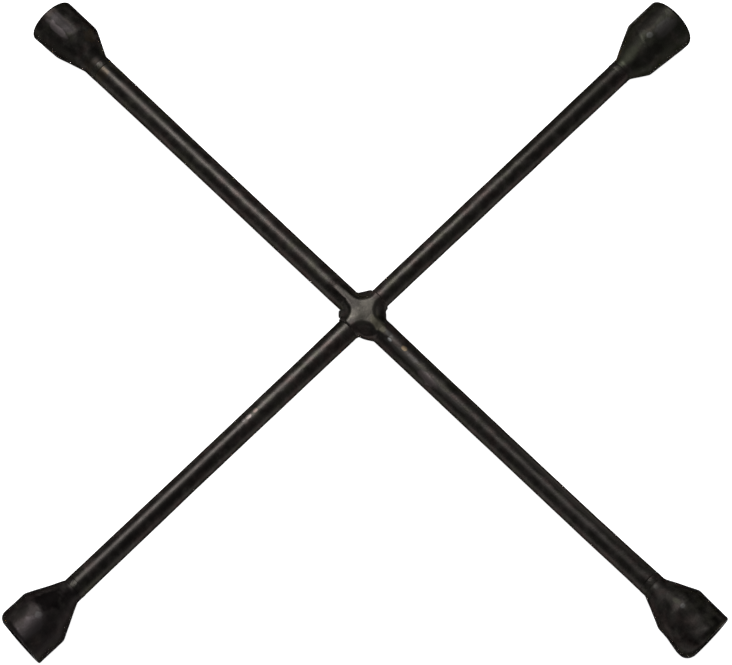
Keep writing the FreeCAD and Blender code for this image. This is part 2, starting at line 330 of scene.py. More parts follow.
WELD_GAP = 1.9  # from a weld's middle to the parts that it joins
NOSE_RADIUS = 3.9  # land at the root of the weld groove, on bar and socket alike
NOSE_LENGTH = 1.75  # depth of the groove's flank, along the bar
FLAT_RUN = (0.5, 2.0)  # beyond the shoulder: where a flat starts, and where it is whole
RIM_FULLNESS = 0.98  # share of the rim's quarter round that is drawn
TILT_RUN = 22.0  # length of socket over which the mouth's lean comes in
RING_COUNTS = (110, 28, 10)  # along a socket, before its edge, and over its lip
DENT_START = 6.0  # stretch from the neck over which the dents come in
DENT_END = (3.0, 0.5)  # before the mouth: where they start to go, and where they have gone
EDGE_RUN = 6.0  # stretch before the mouth that has closer rings
EDGE_STEP = 0.2
LIP = 0.4  # the last of that stretch, with rings closer still
LEAD = 0.3  # how much wider the mouth is than the hexagon's corners
LEAD_ROUND = 0.15  # rounding between the mouth's face and its lead-in
LEAD_STATIONS = (0.1, 0.5, 1.0, 1.6, 2.4)  # depths of the rings through the lead-in
POCKET_START = 3.4  # depth of the first ring that is all hexagon
FLOOR_ROUND = 0.3  # rounding of the pocket's floor
FLOOR_FALL = 0.1  # how far that floor lies beyond the last full ring
STUD_ROUND = 0.4  # rounding of the stud bore's edge
DRILL_POINT = 1.8  # depth of the cone that ends the stud bore
DRILL_TIP = 0.3  # its blunt end, as a share of the bore


def socket_outside(arm, t, angle):
    """Radius of the socket's forged outside at stations t, one column for each angle."""
    radius = np.empty((len(t), len(angle)))
    for column, turn in enumerate(angle):
        share = 0.5 + 0.5 * math.cos(turn)
        profile = arm.minus * (1.0 - share) + arm.plus * share
        line = eased(profile, t)
        shoulder = profile[2, 0]
        for centre, half_width in arm.flats:
            off = abs(turn - centre)
            if off < half_width:
                on_body = smoothstep(shoulder + FLAT_RUN[0], shoulder + FLAT_RUN[1], t)
                flat = line * math.cos(half_width) / math.cos(off)
                line = line * (1.0 - on_body) + flat * on_body
        rounding = arm.rim_minus * (1.0 - share) + arm.rim_plus * share
        into = np.clip((t - (arm.mouth - rounding)) / rounding, 0.0, 1.0)
        radius[:, column] = line - rounding * (1.0 - np.sqrt(1.0 - into * into)) * RIM_FULLNESS
    return radius


def hexagon_radius(arm, angle, flat_angle, rounding=0.5):
    """Distance from the axis to a hexagon whose flat faces flat_angle, corners eased."""
    sector = math.pi / 3.0
    off = (angle - flat_angle + sector / 2.0) % sector - sector / 2.0
    radius = arm.hexagon / 2.0 / np.cos(off)
    corner = arm.hexagon / 2.0 / math.cos(sector / 2.0)
    return soft_min(radius, np.full_like(radius, corner - rounding * 0.3), rounding)


def tilted(arm, rings):
    """Leans the end of a socket so that its mouth is not quite square to the arm."""
    t = rings @ arm.along
    reach_up = (rings @ arm.up) / arm.radius
    reach_side = (rings @ arm.side) / arm.radius
    share = smoothstep(arm.mouth - TILT_RUN, arm.mouth, t)
    shift = share * (arm.tilt_up * reach_up + arm.tilt_side * reach_side)
    return rings + shift[..., None] * arm.along


def dents(points):
    """Small marks of handling on the sockets, inwards on the whole."""
    return FORGING.at(points, 9.0) * 0.14 + FORGING.at(points + 50.0, 4.0) * 0.06 - 0.04


def outer_rings(arm, angle):
    """The forged outside, from the weld to the mouth, with the small dents of handling."""
    mouth = arm.mouth
    root = arm.weld + WELD_GAP
    along, before_edge, over_lip = RING_COUNTS
    stations = np.concatenate(
        [
            np.linspace(root, mouth - EDGE_RUN, along),
            np.linspace(mouth - EDGE_RUN + EDGE_STEP, mouth - LIP, before_edge),
            mouth - LIP * (1.0 - np.linspace(0.1, 1.0, over_lip)) ** 2,
        ]
    )
    rings = arm.place(stations[:, None], angle, socket_outside(arm, stations, angle))
    from_neck = smoothstep(root, root + DENT_START, stations)
    to_rim = 1.0 - smoothstep(mouth - DENT_END[0], mouth - DENT_END[1], stations)
    outward = rings - stations[:, None, None] * arm.along
    outward /= np.linalg.norm(outward, axis=-1, keepdims=True)
    return rings + outward * (dents(rings) * (from_neck * to_rim)[:, None])[..., None]


def inner_rings(arm, angle, edge):
    """The mouth's face, the hexagon pocket and the stud bore, going inwards from the edge ring."""
    mouth = arm.mouth
    lean = (arm.plus[-1, 1] - arm.minus[-1, 1]) / 2.0
    # The eye bar's sockets have a flat of the hexagon facing up, the cross bar's a corner.
    flat_angle = math.pi / 2.0 if abs(arm.along[0]) > 0.5 else 0.0
    hexagon = hexagon_radius(arm, angle, flat_angle)
    lead = float(hexagon.max()) + LEAD
    floor = mouth - arm.depth - FLOOR_FALL
    inner_edge = arm.place(mouth, angle, lead + LEAD_ROUND, lean)
    rings = []
    for share in (0.5, 1.0):
        rings.append(edge * (1.0 - share) + inner_edge * share)
    for deep in LEAD_STATIONS:
        rings.append(arm.place(mouth - deep, angle, np.minimum(lead - deep, hexagon), lean))
    for deep in np.linspace(POCKET_START, arm.depth, 9):
        rings.append(arm.place(mouth - deep, angle, hexagon, lean))
    rings.append(arm.place(floor, angle, hexagon - FLOOR_ROUND, lean))
    rings.append(arm.place(floor, angle, arm.stud_radius + STUD_ROUND, lean))
    for deep in np.linspace(arm.depth + STUD_ROUND, arm.stud_depth, 5):
        rings.append(arm.place(mouth - deep, angle, arm.stud_radius, lean))
    point = mouth - arm.stud_depth - DRILL_POINT
    rings.append(arm.place(point, angle, arm.stud_radius * DRILL_TIP, lean))
    return np.array(rings)


def make_socket(arm, material):
    """One forged socket: its nose at the weld, its outside, and its inside from the mouth in."""
    angle = turn_angles()
    outside = outer_rings(arm, angle)
    inside = inner_rings(arm, angle, outside[-1])
    neck_stray = (arm.plus[0, 1] - arm.minus[0, 1]) / 2.0
    nose_end = arm.weld + WELD_GAP - NOSE_LENGTH
    nose = [arm.place(nose_end, angle, NOSE_RADIUS, neck_stray)]
    rings = tilted(arm, np.concatenate([nose, outside, inside]))
    rings[..., 2] *= min(1.0, THICKEST / np.abs(rings[..., 2]).max())
    made = ring_solid("socket_%s_forged" % arm.suffix, rings, flip=arm.flips())
    sharp_by_angle(made)
    finish_piece(made, "socket_" + arm.suffix, material)


WELD_ROOT = 4.0  # inside radius of the weld ring
WELD_HALF_WIDTH = 1.86
WELD_WANDER = 0.25  # how far the ring strays along the bar
WELD_CROWN = 0.10  # its height over the bar
WELD_UNEVEN = 0.03  # how much that height varies
WELD_RIPPLE = 0.02  # depth of the ripples that the welder's passes leave
RIPPLES = 24


def make_weld(arm, material):
    """The dressed weld: a low ring of uneven width in the groove between bar and socket."""
    angle = turn_angles()
    share = 0.5 + 0.5 * np.cos(angle)
    radius = arm.minus[0, 1] * (1.0 - share) + arm.plus[0, 1] * share
    rings = [arm.place(arm.weld, angle, WELD_ROOT)]
    for across in np.linspace(-1.0, 1.0, 21):
        fullness = 1.0 - across * across
        wander = WELD_WANDER * np.sin(3.0 * angle + arm.weld) * (1.0 - abs(across))
        crown = (WELD_CROWN + WELD_UNEVEN * np.sin(5.0 * angle + arm.weld)) * fullness
        ripples = WELD_RIPPLE * np.sin(RIPPLES * angle + 3.0 * across) * fullness
        station = arm.weld + WELD_HALF_WIDTH * across + wander
        rings.append(arm.place(station, angle, radius + crown + ripples))
    made = ring_loop("weld_%s_bead" % arm.suffix, np.array(rings), flip=arm.flips())
    finish_piece(made, "socket_weld_" + arm.suffix, material)


# ---------------------------------------------------------------- bars and eye

HIDDEN = 14.0  # stretch of the cross bar on each side of the crossing that needs few rings
WAIST_ENDS = (9.0, 11.0)  # where the locking waist is whole, and where it has run out
WAIST_DEPTH = 0.35


def hammered(points):
    """Small waves that forging and handling leave on the bars."""
    return FORGING.at(points, 22.0) * 0.06 + FORGING.at(points, 7.0) * 0.025


def make_cross_bar(material):
    """The plain bar, with its locking waist inside the eye and a nose at each weld."""
    angle = turn_angles()
    top = UPPER_RIGHT.weld - WELD_GAP
    bottom = -(LOWER_LEFT.weld - WELD_GAP)
    steps = np.concatenate(
        [
            np.linspace(bottom, -HIDDEN, 200),
            np.linspace(1.0 - HIDDEN, HIDDEN - 1.0, 27),
            np.linspace(HIDDEN, top, 200),
        ]
    )
    radius, stray = form_at(CROSS_BAR_FORM, steps)
    inside = 1.0 - smoothstep(*WAIST_ENDS, np.abs(steps))
    radius = radius - WAIST_DEPTH * inside
    rings = UPPER_RIGHT.place(steps[:, None], angle, radius[:, None], stray[:, None])
    outward = rings * (1.0, 0.0, 1.0)
    outward /= np.linalg.norm(outward, axis=-1, keepdims=True)
    shown = (1.0 - inside)[:, None, None]
    rings = rings + outward * hammered(rings)[..., None] * shown
    low_nose = UPPER_RIGHT.place(bottom - NOSE_LENGTH, angle, NOSE_RADIUS, stray[0])
    high_nose = UPPER_RIGHT.place(top + NOSE_LENGTH, angle, NOSE_RADIUS, stray[-1])
    rings = np.concatenate([[low_nose], rings, [high_nose]])
    made = ring_solid("cross_bar_rod", rings, flip=UPPER_RIGHT.flips())
    sharp_by_angle(made)
    finish_piece(made, "cross_bar", material)


# Direction in degrees, and how far the web between the bars reaches that way. It bulges by
# different amounts in the four corners and carries a small lump on its left.
WEB_OUTLINE = (
    (-162.0, 12.3),
    (-115.0, 11.8),
    (-100.0, 12.4),
    (-85.0, 13.9),
    (-66.0, 15.7),
    (-50.0, 15.0),
    (-30.0, 13.7),
    (0.0, 12.85),
    (19.0, 12.85),
    (45.0, 14.0),
    (65.0, 14.0),
    (76.0, 13.75),
    (84.0, 13.05),
    (99.0, 12.2),
    (120.0, 11.8),
    (150.0, 12.1),
    (162.0, 12.6),
    (169.5, 11.8),
    (174.0, 13.25),
    (184.0, 13.25),
    (190.5, 11.9),
    (198.0, 12.3),
)


def web_outline(right, up):
    """How far the web reaches, by direction in the plane of the cross."""
    turns, reaches = zip(*WEB_OUTLINE)
    turn = (np.degrees(np.arctan2(up, right)) - turns[0]) % 360.0 + turns[0]
    return np.interp(turn, turns, reaches)


CROWN_HEIGHT = 8.2
CROWN_DISHING = 0.0025  # how the crown falls with the square of the distance from the middle
CROWN_FALL = 0.045  # how it falls along the eye bar
CROWN_ROUND = 3.0  # length over which that fall begins
RIDGE_HALF_WIDTH = 3.5  # the ridge runs the crown out along the eye bar
RIDGE_TAPER = 0.09
RIDGE_SHOULDER = 6.0  # where the taper begins
RIDGE_REACH = 21.0
HOLLOWS = ((0.0, 14.8), (0.0, -15.3), (14.6, 0.0), (-15.2, 0.0))  # places to the right and up
HOLLOW_RADIUS = 8.2
HOLLOW_DEPTH = 7.6
HOLLOW_HEIGHT = 10.6  # centre of a hollow over the bars' plane
SLEEVE_RADIUS = 7.1  # wall round the cross bar
SLEEVE_STRAY = 0.25
EYE_ENDS = (-11.9, 12.6)  # the sleeve's mouths, along the cross bar
# How softly the eye's forms run into each other.
TOP_SOFT = 1.6
RIDGE_END_SOFT = 2.5
HOLLOW_SOFT = 1.8
SLEEVE_SOFT = 1.0
MOUTH_SOFT = 0.6
BAR_SOFT = 0.9


def eye_bar_field(points):
    """Roughly the signed distance to the eye bar, negative inside.

    The eye is a thick disc with a thumb-shaped hollow pressed between each two bars, above and
    below, which leaves a flat-topped cross standing over the bars and a thin web between them.
    """
    x, y, z = points[..., 0], points[..., 1], np.abs(points[..., 2])
    right, up = (x + y) * math.sqrt(0.5), (y - x) * math.sqrt(0.5)
    radius, stray = form_at(EYE_BAR_FORM, x)
    bar = np.sqrt((y - stray) ** 2 + z * z) - radius

    along = np.sqrt(x * x + CROWN_ROUND**2) - CROWN_ROUND
    spread = np.sqrt(x * x + y * y)
    crown = CROWN_HEIGHT - CROWN_DISHING * spread**2 - CROWN_FALL * along
    block = soft_max(spread - web_outline(right, up), z - crown, TOP_SOFT)
    ridge = RIDGE_HALF_WIDTH - RIDGE_TAPER * np.maximum(np.abs(x) - RIDGE_SHOULDER, 0.0)
    ramp = soft_max(np.abs(y) - ridge, z - crown, TOP_SOFT)
    ramp = soft_max(ramp, np.abs(x) - RIDGE_REACH, RIDGE_END_SOFT)
    block = np.minimum(block, ramp)
    for hollow_right, hollow_up in HOLLOWS:
        away = np.sqrt((right - hollow_right) ** 2 + (up - hollow_up) ** 2)
        height = (z - HOLLOW_HEIGHT) / HOLLOW_DEPTH
        hollow = (np.sqrt((away / HOLLOW_RADIUS) ** 2 + height**2) - 1.0) * HOLLOW_DEPTH
        block = soft_max(block, -hollow, HOLLOW_SOFT)
    sleeve = np.sqrt((x - SLEEVE_STRAY) ** 2 + z * z) - SLEEVE_RADIUS
    eye = soft_min(block, sleeve, SLEEVE_SOFT)
    eye = soft_max(eye, np.maximum(y - EYE_ENDS[1], EYE_ENDS[0] - y), MOUTH_SOFT)
    return soft_min(bar, eye, BAR_SOFT)


BLANK_SEGMENTS = 64
VOXEL = 0.4
FIT_ROUNDS = 9  # how often the points are moved towards the field's surface
FIT_SHARE = 0.8  # share of the way that each move covers
NUDGE = 0.02  # distance over which the field's slope is taken
LEAST_SLOPE = 0.25  # square of the slope below which a move gets no longer
END_RUN = 0.6  # stretch at each end of the bar whose points keep their place along it
END_GAP = 0.15  # from a weld's middle to the end of the bar
NEAR_EYE = (12.0, 22.0)  # where the lumps round the eye start to fade, and where they have
EYE_LUMPS = 0.16
EYE_CREASE = 50  # degrees


def blank_disc(name, radius, half_height, count):
    """A round block on the crossing, square to the bars' plane."""
    angle = turn_angles(BLANK_SEGMENTS)
    rings = []
    for z in np.linspace(-half_height, half_height, count):
        level = np.full(BLANK_SEGMENTS, z)
        rings.append(np.stack([radius * np.cos(angle), radius * np.sin(angle), level], axis=-1))
    return ring_solid(name, rings)


def blank_ridge():
    """A low oval bar along the eye bar, highest at the crossing."""
    angle = turn_angles(BLANK_SEGMENTS)
    rings = []
    for x in np.linspace(-17.0, 17.0, 9):
        high = 9.2 - 0.15 * abs(x)
        level = np.full(BLANK_SEGMENTS, x)
        rings.append(np.stack([level, 3.4 * np.cos(angle), high * np.sin(angle)], axis=-1))
    return ring_solid("blank_ridge", rings)


def eye_blank(left, right):
    """A rough solid for the remesh to cut into even small quads.

    Its sizes need only be near the eye bar's, because every point is then moved to the surface.
    """
    angle = turn_angles(BLANK_SEGMENTS)
    rod_rings = [LOWER_RIGHT.place(t, angle, 6.8) for t in np.linspace(left, right, 60)]
    drum_rings = [UPPER_RIGHT.place(t, angle, 7.8) for t in np.linspace(-12.0, 12.0, 6)]
    rod = ring_solid("blank_rod", rod_rings)
    drum = ring_solid("blank_drum", drum_rings, flip=True)
    web = blank_disc("blank_web", 13.0, 3.6, 3)
    post = blank_disc("blank_post", 6.6, 8.4, 5)
    ridge = blank_ridge()
    bpy.ops.object.select_all(action="DESELECT")
    for part in (rod, drum, web, post, ridge):
        part.select_set(True)
    bpy.context.view_layer.objects.active = rod
    bpy.ops.object.join()
    return rod


def drawn_to_field(points, ends):
    """Moves points onto the eye bar's surface and returns them with their normals."""
    for _ in range(FIT_ROUNDS):
        value = eye_bar_field(points)
        slope = np.empty_like(points)
        for axis in range(3):
            nudge = np.zeros(3)
            nudge[axis] = NUDGE
            slope[:, axis] = eye_bar_field(points + nudge) - eye_bar_field(points - nudge)
        slope /= 2.0 * NUDGE
        size = np.maximum((slope**2).sum(axis=1), LEAST_SLOPE)
        move = slope * (value / size)[:, None]
        move[ends, 0] = 0.0
        points = points - FIT_SHARE * move
    return points, slope / np.linalg.norm(slope, axis=1, keepdims=True)


def read_points(made):
    """The mesh's points in millimetres."""
    flat = np.empty(len(made.data.vertices) * 3)
    made.data.vertices.foreach_get("co", flat)
    return flat.reshape(-1, 3) / MM


def write_points(made, points):
    made.data.vertices.foreach_set("co", (points * MM).ravel())
    made.data.update()


def make_eye_bar(material):
    """The bar with the eye: a blank fitted to the field, with forging marks and two noses."""
    right = LOWER_RIGHT.weld - END_GAP
    left = -(UPPER_LEFT.weld - END_GAP)
    made = eye_blank(left, right)
    # The second remesh evens out the quads that the first fit has stretched.
    for _ in range(2):
        made.data.remesh_voxel_size = VOXEL * MM
        made.data.remesh_voxel_adaptivity = 0.0
        bpy.ops.object.voxel_remesh()
        points = read_points(made)
        ends = (points[:, 0] < left + END_RUN) | (points[:, 0] > right - END_RUN)
        points, normal = drawn_to_field(points, ends)
        write_points(made, points)
    near_eye = 1.0 - smoothstep(*NEAR_EYE, np.abs(points[:, 0]))
    lumps = hammered(points) + near_eye * (FORGING.at(points + 9.0, 4.5) * EYE_LUMPS)
    points = points + normal * lumps[:, None]

    radius, stray = form_at(EYE_BAR_FORM, points[:, 0])
    from_end = np.minimum(points[:, 0] - left, right - points[:, 0])
    beyond_shoulder = 1.0 - np.clip(from_end / NOSE_LENGTH, 0.0, 1.0)
    shrink = 1.0 - (1.0 - NOSE_RADIUS / radius) * beyond_shoulder
    points[:, 1] = stray + (points[:, 1] - stray) * shrink
    points[:, 2] *= shrink
    write_points(made, points)
    made.data.shade_smooth()
    sharp_by_angle(made, EYE_CREASE)
    made.name = "eye_bar_forged"
    made.data.name = "eye_bar_forged"
    finish_piece(made, "eye_bar", material)


# ---------------------------------------------------------------- material


class Nodes:
    """Short names for building one material's node tree."""

    def __init__(self, name):
        self.material = bpy.data.materials.new(name)
        self.material.use_nodes = True
        self.tree = self.material.node_tree
        self.shader = self.tree.nodes["Principled BSDF"]

    def link(self, source, target):
        self.tree.links.new(source, target)

    def noise(self, where, scale, detail=4.0, roughness=0.55):
        node = self.tree.nodes.new("ShaderNodeTexNoise")
        node.inputs["Scale"].default_value = scale
        node.inputs["Detail"].default_value = detail
        node.inputs["Roughness"].default_value = roughness
        self.link(where, node.inputs["Vector"])
        return node.outputs["Fac"]

    def ramp(self, factor, stops):
        node = self.tree.nodes.new("ShaderNodeValToRGB")
        ramp = node.color_ramp
        while len(ramp.elements) < len(stops):
            ramp.elements.new(0.5)
        for element, (position, colour) in zip(ramp.elements, stops):
            element.position = position
            element.color = (*colour, 1.0)
        self.link(factor, node.inputs["Fac"])
        return node.outputs["Color"]

    def mix(self, factor, a, b, blend="MIX"):
        node = self.tree.nodes.new("ShaderNodeMix")
        node.data_type = "RGBA"
        node.blend_type = blend
        sockets = [s for s in node.inputs if s.type == "RGBA"]
        if isinstance(factor, float):
            node.inputs["Factor"].default_value = factor
        else:
            self.link(factor, node.inputs["Factor"])
        for socket, value in zip(sockets, (a, b)):
            if isinstance(value, tuple):
                socket.default_value = (*value, 1.0)
            else:
                self.link(value, socket)
        return next(s for s in node.outputs if s.type == "RGBA")

    def math(self, operation, a, b):
        node = self.tree.nodes.new("ShaderNodeMath")
        node.operation = operation
        for socket, value in zip(node.inputs, (a, b)):
            if isinstance(value, (int, float)):
                socket.default_value = value
            else:
                self.link(value, socket)
        return node.outputs["Value"]

    def vector_math(self, operation, source, value=(0.0, 0.0, 0.0)):
        node = self.tree.nodes.new("ShaderNodeVectorMath")
        node.operation = operation
        self.link(source, node.inputs[0])
        node.inputs[1].default_value = value
        return node


RAGGEDNESS = 1.5  # how far the coating's patches push a mark's outline in and out
FADE = (1.1, 0.6)  # where a mark starts and where it is whole, as shares of its reach


def spot_mask(n, where, noise, centre, reach):
    """1 near a point on the wrench, fading raggedly to 0; centre and reach are in millimetres."""
    away = n.vector_math("SUBTRACT", where, [c * MM for c in centre]).outputs["Vector"]
    scaled = n.vector_math("DIVIDE", away, [r * MM for r in reach]).outputs["Vector"]
    length = n.vector_math("LENGTH", scaled).outputs["Value"]
    ragged = n.math("MULTIPLY", n.math("SUBTRACT", noise, 0.5), RAGGEDNESS)
    distance = n.math("ADD", length, ragged)
    fade = n.tree.nodes.new("ShaderNodeMapRange")
    fade.interpolation_type = "SMOOTHSTEP"
    fade.inputs["From Min"].default_value = FADE[0]
    fade.inputs["From Max"].default_value = FADE[1]
    n.link(distance, fade.inputs["Value"])
    return fade.outputs["Result"]


GRAZING_TINT = (0.35, 0.35, 0.35, 1.0)  # colour of the coating's reflection at its edges
RELIEF_DEPTH = 0.0003  # metres


def grey(value):
    return (value, value, value)


def black_coating(name, base, roughness, grain, mottle, marks=()):
    """Worn black coating on steel: mottled red-brown to green-black, with dull and shiny patches,
    and with painted highlights and painted shade.

    grain is the strength of the relief. mottle is how much darker the dark patches are than the
    base, as a share of it. marks are (centre, reach, colour, strength) of single stains and chips,
    and of painted highlights and painted shade that brighten or dim the coat where the key light's
    highlights fall, in millimetres. The noises' scales are in waves to the metre.
    """
    n = Nodes(name)
    where = n.tree.nodes.new("ShaderNodeTexCoord").outputs["Object"]
    large = n.noise(where, 55.0, 2.0)
    patches = n.noise(where, 190.0, 4.0)
    fine = n.noise(where, 900.0, 4.0, 0.6)
    tint = n.noise(where, 120.0, 2.0, 0.5)

    dark = tuple(c * (1.0 - mottle) for c in base)
    light = tuple(c * (1.0 + 1.2 * mottle) for c in base)
    colour = n.ramp(patches, [(0.34, dark), (0.5, base), (0.68, light)])
    warm = [(0.36, (0.91, 0.95, 0.83)), (0.5, (1.0, 1.0, 1.0)), (0.66, (1.12, 0.95, 0.95))]
    colour = n.mix(0.85, colour, n.ramp(tint, warm), "MULTIPLY")
    speckle = n.ramp(fine, [(0.35, grey(0.85)), (0.6, grey(1.0)), (0.74, grey(1.5))])
    colour = n.mix(1.0, colour, speckle, "MULTIPLY")
    # Each mark lays its colour over the coat. Some are stains, chips and wear, others are painted
    # highlights and painted shade.
    for centre, reach, stain_and_painted_light, strength in marks:
        mask = spot_mask(n, where, patches, centre, reach)
        mask = n.math("MULTIPLY", mask, strength)
        colour = n.mix(mask, colour, stain_and_painted_light)
    n.link(colour, n.shader.inputs["Base Color"])
    n.shader.inputs["Metallic"].default_value = 1.0
    n.shader.inputs["Specular Tint"].default_value = GRAZING_TINT

    mixed = n.math("ADD", n.math("MULTIPLY", patches, 0.6), n.math("MULTIPLY", large, 0.4))
    rough = n.ramp(mixed, [(0.3, grey(roughness - 0.08)), (0.7, grey(roughness + 0.10))])
    n.link(rough, n.shader.inputs["Roughness"])

    height = n.math("ADD", n.math("MULTIPLY", patches, 0.7), n.math("MULTIPLY", fine, 0.3))
    relief = n.tree.nodes.new("ShaderNodeBump")
    relief.inputs["Strength"].default_value = grain
    relief.inputs["Distance"].default_value = RELIEF_DEPTH
    n.link(height, relief.inputs["Height"])
    n.link(relief.outputs["Normal"], n.shader.inputs["Normal"])
    return n.material


FLOOR_GLOW = 0.92  # keeps the floor white round the wrench


def floor_material():
    n = Nodes("studio_floor")
    where = n.tree.nodes.new("ShaderNodeTexCoord").outputs["Object"]
    cloud = n.noise(where, 3.0, 2.0)
    colour = n.ramp(cloud, [(0.3, grey(0.70)), (0.7, grey(0.74))])
    n.link(colour, n.shader.inputs["Base Color"])
    n.shader.inputs["Roughness"].default_value = 0.9
    n.shader.inputs["Specular IOR Level"].default_value = 0.0
    n.shader.inputs["Emission Color"].default_value = (1.0, 1.0, 1.0, 1.0)
    n.shader.inputs["Emission Strength"].default_value = FLOOR_GLOW
    return n.material


# ---------------------------------------------------------------- studio


def area_light(name, location, target, size, power):
    data = bpy.data.lights.new(name, "AREA")
    data.shape = "RECTANGLE"
    data.size, data.size_y = size
    data.energy = power
    light = bpy.data.objects.new(name, data)
    light.location = location
    facing = Vector(target) - Vector(location)
    light.rotation_mode = "QUATERNION"
    light.rotation_quaternion = facing.to_track_quat("-Z", "Y")
    bpy.context.scene.collection.objects.link(light)


# The camera looks down on the cross from the side of the 19 and 22 mm sockets, 19 degrees off
# square. The turn is about its own right, up and backward axes, from the square view, and the
# offset is its place from the crossing along those axes, in millimetres.
CAMERA_TURN = tuple(math.radians(a) for a in (-19.16, 0.73, 0.16))
CAMERA_OFFSET = (1.8, -9.8, 1425.0)
LENS = 128.1
CLIP = (0.05, 20.0)  # metres


def rotation_about(vector):
    """The turn about a vector by its own length, in radians."""
    size = math.sqrt(sum(v * v for v in vector))
    return Matrix.Rotation(size, 3, Vector(vector))


def camera_axes():
    """Rows are the camera's right, up and backward directions."""
    half = math.sqrt(0.5)
    square_on = Matrix(((half, half, 0.0), (-half, half, 0.0), (0.0, 0.0, 1.0)))
    return rotation_about(CAMERA_TURN) @ square_on


def make_camera():
    axes = camera_axes()
    spot = axes.transposed() @ Vector(CAMERA_OFFSET)
    data = bpy.data.cameras.new("camera")
    data.sensor_width = 36.0
    data.lens = LENS
    data.clip_start, data.clip_end = CLIP
    camera = bpy.data.objects.new("camera", data)
    matrix = axes.transposed().to_4x4()
    matrix.translation = spot * MM
    camera.matrix_world = matrix
    bpy.context.scene.collection.objects.link(camera)
    bpy.context.scene.camera = camera


FLOOR_LEVEL = -15.9  # millimetres: the largest socket rests on it
FLOOR_HALF = 3.0  # metres
FLOOR_STEPS = 24
KEY_PLACE = (-1.15, 0.25, 2.0)  # metres: high up, beyond the 17 mm socket
KEY_SIZE = (0.8, 0.8)
KEY_POWER = 60.0  # watts
AMBIENT = 0.28


def make_floor():
    grid = np.linspace(-FLOOR_HALF, FLOOR_HALF, FLOOR_STEPS + 1)
    verts = [(x / MM, y / MM, FLOOR_LEVEL) for y in grid for x in grid]
    across = FLOOR_STEPS + 1
    faces = []
    for row in range(FLOOR_STEPS):
        for column in range(FLOOR_STEPS):
            corner = row * across + column
            faces.append((corner, corner + 1, corner + across + 1, corner + across))
    floor = mesh_object("floor", verts, faces)
    floor.data.materials.append(floor_material())


def make_studio():
    make_floor()
    area_light("key", KEY_PLACE, (0.0, 0.0, 0.0), KEY_SIZE, KEY_POWER)
    world = bpy.data.worlds.new("studio")
    world.use_nodes = True
    background = world.node_tree.nodes["Background"]
    background.inputs["Color"].default_value = (1.0, 1.0, 1.0, 1.0)
    background.inputs["Strength"].default_value = AMBIENT
    bpy.context.scene.world = world
    bpy.context.scene.view_settings.view_transform = "Standard"


# ---------------------------------------------------------------- the wrench

# Colours of the marks. The rust, worn and bare colours serve real rust and wear, and also paint
# highlights on the sockets. The dull colour is painted shade that dims highlights, and the olive
# colour is a painted glint.
RUST_AND_SHEEN = (0.050, 0.037, 0.024)
BARE_AND_GLINT = (0.12, 0.12, 0.12)
WORN_AND_GLINT = (0.052, 0.050, 0.048)
PAINTED_SHADE = (0.011, 0.010, 0.009)
TAN = (0.13, 0.095, 0.060)
PAINTED_GLINT = (0.036, 0.036, 0.027)
BAR_BLACK = (0.027, 0.0245, 0.0225)
SOCKET_BLACK = (0.0190, 0.0174, 0.0160)
WELD_BLACK = (0.024, 0.0218, 0.020)

# Stains, chips, worn places, painted highlights and painted shade: centre and reach in
# millimetres, colour, strength.
bar_coat = black_coating(
    "black_bar_coat",
    BAR_BLACK,
    roughness=0.39,
    grain=0.5,
    mottle=0.26,
    marks=[
        # Painted highlight on the crown, partly wear on its top, and on the ridge towards the 19
        # mm socket.
        ((1.0, 0.5, 8.2), (7.5, 11.0, 3.5), (0.0425, 0.0390, 0.0335), 0.85),
        ((12.5, 0.3, 7.5), (7.0, 3.0, 3.5), (0.055, 0.051, 0.038), 0.85),
        # Painted shade: dims the crown's highlight towards the 17 mm socket, and the bar's
        # highlight near that socket's weld.
        ((-14.0, 0.0, 7.5), (12.5, 6.0, 4.0), PAINTED_SHADE, 0.7),
        ((-5.4, -0.4, 8.2), (3.2, 4.0, 3.0), PAINTED_SHADE, 0.6),
        ((-3.3, -4.2, 8.2), (3.2, 3.0, 3.0), PAINTED_SHADE, 0.55),
        ((-205.0, 0.5, 6.0), (14.0, 4.0, 4.0), PAINTED_SHADE, 0.6),
        ((19.5, 0.8, 6.8), (3.6, 1.7, 3.0), WORN_AND_GLINT, 0.8),
        ((22.1, -1.6, 6.4), (1.5, 0.8, 3.0), BARE_AND_GLINT, 0.9),
        ((31.5, 0.3, 6.4), (2.0, 1.4, 3.0), TAN, 0.65),
        ((38.0, -0.5, 6.4), (5.0, 1.6, 3.0), WORN_AND_GLINT, 0.5),
        # Painted shade dimming the highlight along the outer halves of the 17 mm and 22 mm arms.
        ((-168.0, 0.0, 6.5), (62.0, 4.0, 4.0), (0.016, 0.0145, 0.0135), 0.6),
        ((0.0, -155.0, 6.5), (5.0, 80.0, 4.0), (0.0145, 0.0130, 0.0122), 0.8),
        ((-1.0, -81.2, 6.4), (1.2, 1.5, 3.0), (0.075, 0.056, 0.050), 0.5),
        ((-1.0, -86.4, 6.4), (1.3, 2.0, 3.0), (0.085, 0.072, 0.068), 0.6),
        ((-1.5, -89.4, 6.3), (1.0, 1.2, 3.0), (0.055, 0.049, 0.047), 0.7),
        # Painted highlight along the 19 mm arm: a wider, brighter highlight near the crossing, a
        # brighter highlight line further out, and a painted reflection band beside it.
        ((52.0, -2.6, 6.2), (32.0, 1.7, 3.0), (0.048, 0.045, 0.042), 0.7),
        ((52.3, -3.3, 5.6), (7.5, 2.2, 3.0), (0.100, 0.082, 0.082), 0.75),
        ((150.0, 3.2, 5.4), (62.0, 1.6, 3.0), (0.060, 0.054, 0.049), 0.6),
        ((150.0, -1.2, 6.5), (62.0, 1.3, 3.0), (0.036, 0.033, 0.031), 0.6),
        ((-206.0, -3.0, 5.0), (7.0, 4.0, 5.0), RUST_AND_SHEEN, 0.3),
        # Painted shade dimming the highlight along the 21 mm arm's outer part.
        ((-1.5, 165.0, 6.0), (7.0, 62.0, 8.0), (0.016, 0.015, 0.013), 0.7),
    ],
)
